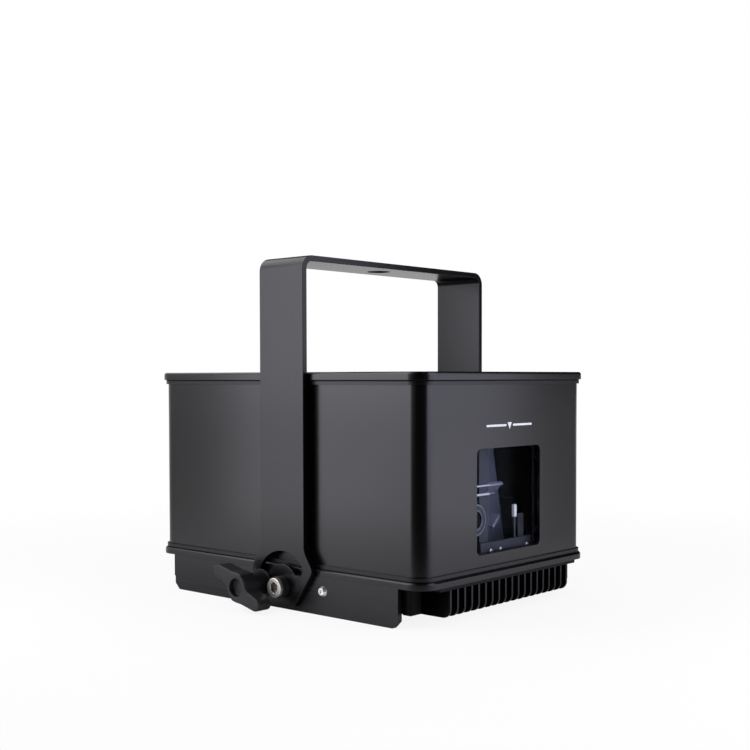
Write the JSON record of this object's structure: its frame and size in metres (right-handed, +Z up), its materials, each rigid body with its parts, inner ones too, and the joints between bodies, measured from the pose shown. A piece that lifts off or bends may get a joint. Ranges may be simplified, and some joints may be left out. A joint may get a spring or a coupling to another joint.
{
  "type": "laser show projector",
  "caption": "Compact laser show projector: sealed black aluminium case with an aperture window, finned heat sink base, tilting yoke with locking wing knobs and rear connectors.",
  "frame": {"origin": "on the floor under the middle of the whole part's box, on the bottom edges of the side plates", "axes": "+Z up, the aperture window faces -Y, the rear connectors face +Y, the yoke turns about an axis along X"},
  "size_m": [0.1906, 0.2226, 0.1832],
  "materials": {
    "anodised_black": "satin black anodised",
    "sink_black": "black anodised extrusion",
    "yoke_black": "satin black powder coat",
    "screw_black": "black oxide",
    "screw_steel": "bright zinc",
    "nylon_black": "matte nylon",
    "knob_plastic": "matte moulded",
    "gasket_rubber": "matte",
    "window_glass": "polished, coated",
    "socket_plastic": "matte moulded",
    "rocker_plastic": "gloss moulded",
    "connector_nickel": "nickel plated",
    "pin_brass": "bright",
    "lens_clear": "translucent",
    "module_aluminium": "machined",
    "motor_steel": "ground",
    "optic_mirror": "polished",
    "board_green": "solder mask"
  },
  "bodies": {
    "case": {"base_plate": "anodised_black", "base_screws": "screw_black", "blue_laser": "module_aluminium", "board_standoffs": "pin_brass", "bottom_gasket": "gasket_rubber", "combiner_mirrors": "optic_mirror", "control_board": "board_green", "cover_screws": "screw_black", "galvo_driver_board": "board_green", "green_laser": "module_aluminium", "heat_sink": "sink_black", "heat_sink_screws": "screw_black", "housing": "anodised_black", "interlock_pins": "pin_brass", "interlock_socket": "connector_nickel", "key_switch_barrel": "connector_nickel", "knob_studs": "screw_steel", "knob_washers": "nylon_black", "laser_driver_board": "board_green", "left_rail_bar": "anodised_black", "left_side_plate": "anodised_black", "mirror_posts": "module_aluminium", "network_socket": "socket_plastic", "pivot_screws": "screw_steel", "pivot_washers": "nylon_black", "power_inlet": "socket_plastic", "power_inlet_pins": "pin_brass", "power_supply": "module_aluminium", "rail_bar_screws": "screw_black", "red_laser": "module_aluminium", "right_rail_bar": "anodised_black", "right_side_plate": "anodised_black", "safety_lug": "anodised_black", "safety_lug_screws": "screw_black", "scanner_block": "module_aluminium", "show_signal_insert": "socket_plastic", "show_signal_jackscrews": "connector_nickel", "show_signal_shell": "connector_nickel", "shutter_solenoid": "motor_steel", "side_plate_screws": "screw_steel", "status_lenses": "lens_clear", "switch_frame": "socket_plastic", "top_cover": "anodised_black", "top_gasket": "gasket_rubber", "window_frame": "module_aluminium", "window_frame_screws": "screw_steel", "window_glass": "window_glass", "window_seal": "gasket_rubber", "x_galvo": "motor_steel", "y_galvo": "motor_steel", "yoke_spacers": "nylon_black"},
    "yoke_frame": {"yoke": "yoke_black"},
    "left_lock": {"left_knob": "knob_plastic"},
    "right_lock": {"right_knob": "knob_plastic"},
    "x_scanner": {"x_scan_mirror": "optic_mirror"},
    "y_scanner": {"y_scan_mirror": "optic_mirror"},
    "shutter": {"shutter_flap": "motor_steel"},
    "key_core": {"key_switch_core": "connector_nickel"},
    "power_rocker": {"switch_rocker": "rocker_plastic"}
  },
  "joints": [
    {"name": "yoke_tilt", "type": "hinge", "parent": "case", "child": "yoke_frame", "pos_m": [0, -0.01935, 0.0124], "axis": [-1, 0, 0], "range_deg": [0, 140]},
    {"name": "left_knob_turn", "type": "hinge", "parent": "case", "child": "left_lock", "pos_m": [-0.0775, -0.00435, 0.0124], "axis": [-1, 0, 0], "continuous": true},
    {"name": "right_knob_turn", "type": "hinge", "parent": "case", "child": "right_lock", "pos_m": [0.0775, -0.00435, 0.0124], "axis": [1, 0, 0], "continuous": true},
    {"name": "x_scan", "type": "hinge", "parent": "case", "child": "x_scanner", "pos_m": [0.0084, -0.08985, 0.045], "axis": [0, 1, 0], "range_deg": [-15, 15]},
    {"name": "y_scan", "type": "hinge", "parent": "case", "child": "y_scanner", "pos_m": [0.0084, -0.08985, 0.061], "axis": [1, 0, 0], "range_deg": [-15, 15]},
    {"name": "shutter_open", "type": "hinge", "parent": "case", "child": "shutter", "pos_m": [-0.0154, -0.07385, 0.032], "axis": [-1, 0, 0], "range_deg": [0, 45], "stiffness_Nm_per_rad": 0.0008, "springref_deg": -28.65},
    {"name": "key_turn", "type": "hinge", "parent": "case", "child": "key_core", "pos_m": [0.0188, 0.08835, 0.086], "axis": [0, 1, 0], "range_deg": [0, 90]},
    {"name": "power_rock", "type": "hinge", "parent": "case", "child": "power_rocker", "pos_m": [0.04535, 0.08625, 0.086], "axis": [-1, 0, 0], "range_deg": [0, 16]}
  ]
}
